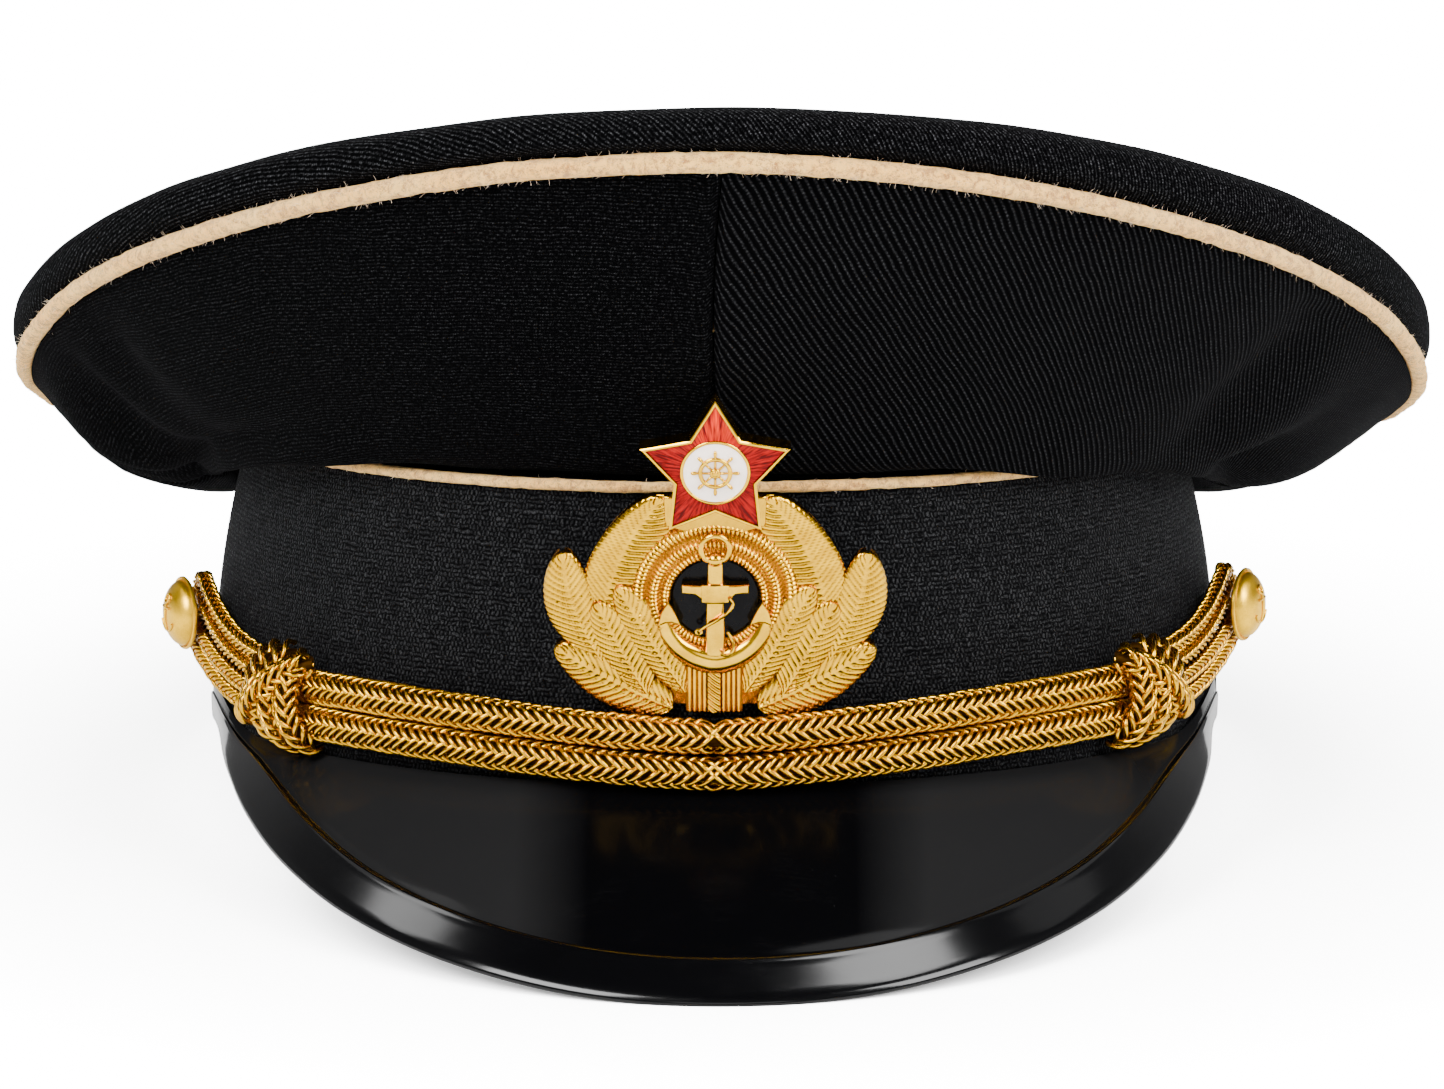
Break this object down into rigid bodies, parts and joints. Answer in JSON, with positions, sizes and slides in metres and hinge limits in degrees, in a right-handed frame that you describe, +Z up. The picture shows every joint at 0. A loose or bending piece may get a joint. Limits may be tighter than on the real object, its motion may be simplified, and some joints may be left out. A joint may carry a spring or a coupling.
{
  "type": "naval officer cap",
  "caption": "Peaked naval officer cap with a wide soft crown, cream welts, woven band, lacquered peak, gold cap cord with side buttons, and a wreath, star and anchor badge.",
  "frame": {"origin": "middle of the cap's bounding box, on the surface that the cap rests on", "axes": "+Z up, front of the cap and its peak towards -Y, +X to the right as the front is seen"},
  "size_m": [0.2496, 0.2744, 0.1453],
  "materials": {
    "wool_twill": "black wool twill, matt with a soft sheen",
    "welt_felt": "cream wool felt cord",
    "woven_band": "black figured ribbon with a fine raised weave",
    "lacquered_peak": "black lacquer, high gloss with fine scratches",
    "gold_cord": "gold wire braid",
    "gilt": "bright gilt stamping",
    "red_enamel": "translucent red enamel",
    "white_enamel": "white enamel",
    "black_enamel": "black enamel"
  },
  "bodies": {
    "root": {"crown_top": "wool_twill", "crown_wall_front_left": "wool_twill", "crown_wall_front_right": "wool_twill", "crown_wall_back_left": "wool_twill", "crown_wall_back_right": "wool_twill", "crown_piping": "welt_felt", "band_piping": "welt_felt", "band": "woven_band", "visor": "lacquered_peak", "cord_upper": "gold_cord", "cord_lower": "gold_cord", "knot_left": "gold_cord", "knot_right": "gold_cord", "loop_outer_left": "gold_cord", "loop_inner_left": "gold_cord", "loop_outer_right": "gold_cord", "loop_inner_right": "gold_cord", "button_left": "gilt", "button_right": "gilt", "badge_body": "gilt", "star_enamel": "red_enamel", "star_disc": "white_enamel", "centre_enamel": "black_enamel"}
  },
  "joints": []
}
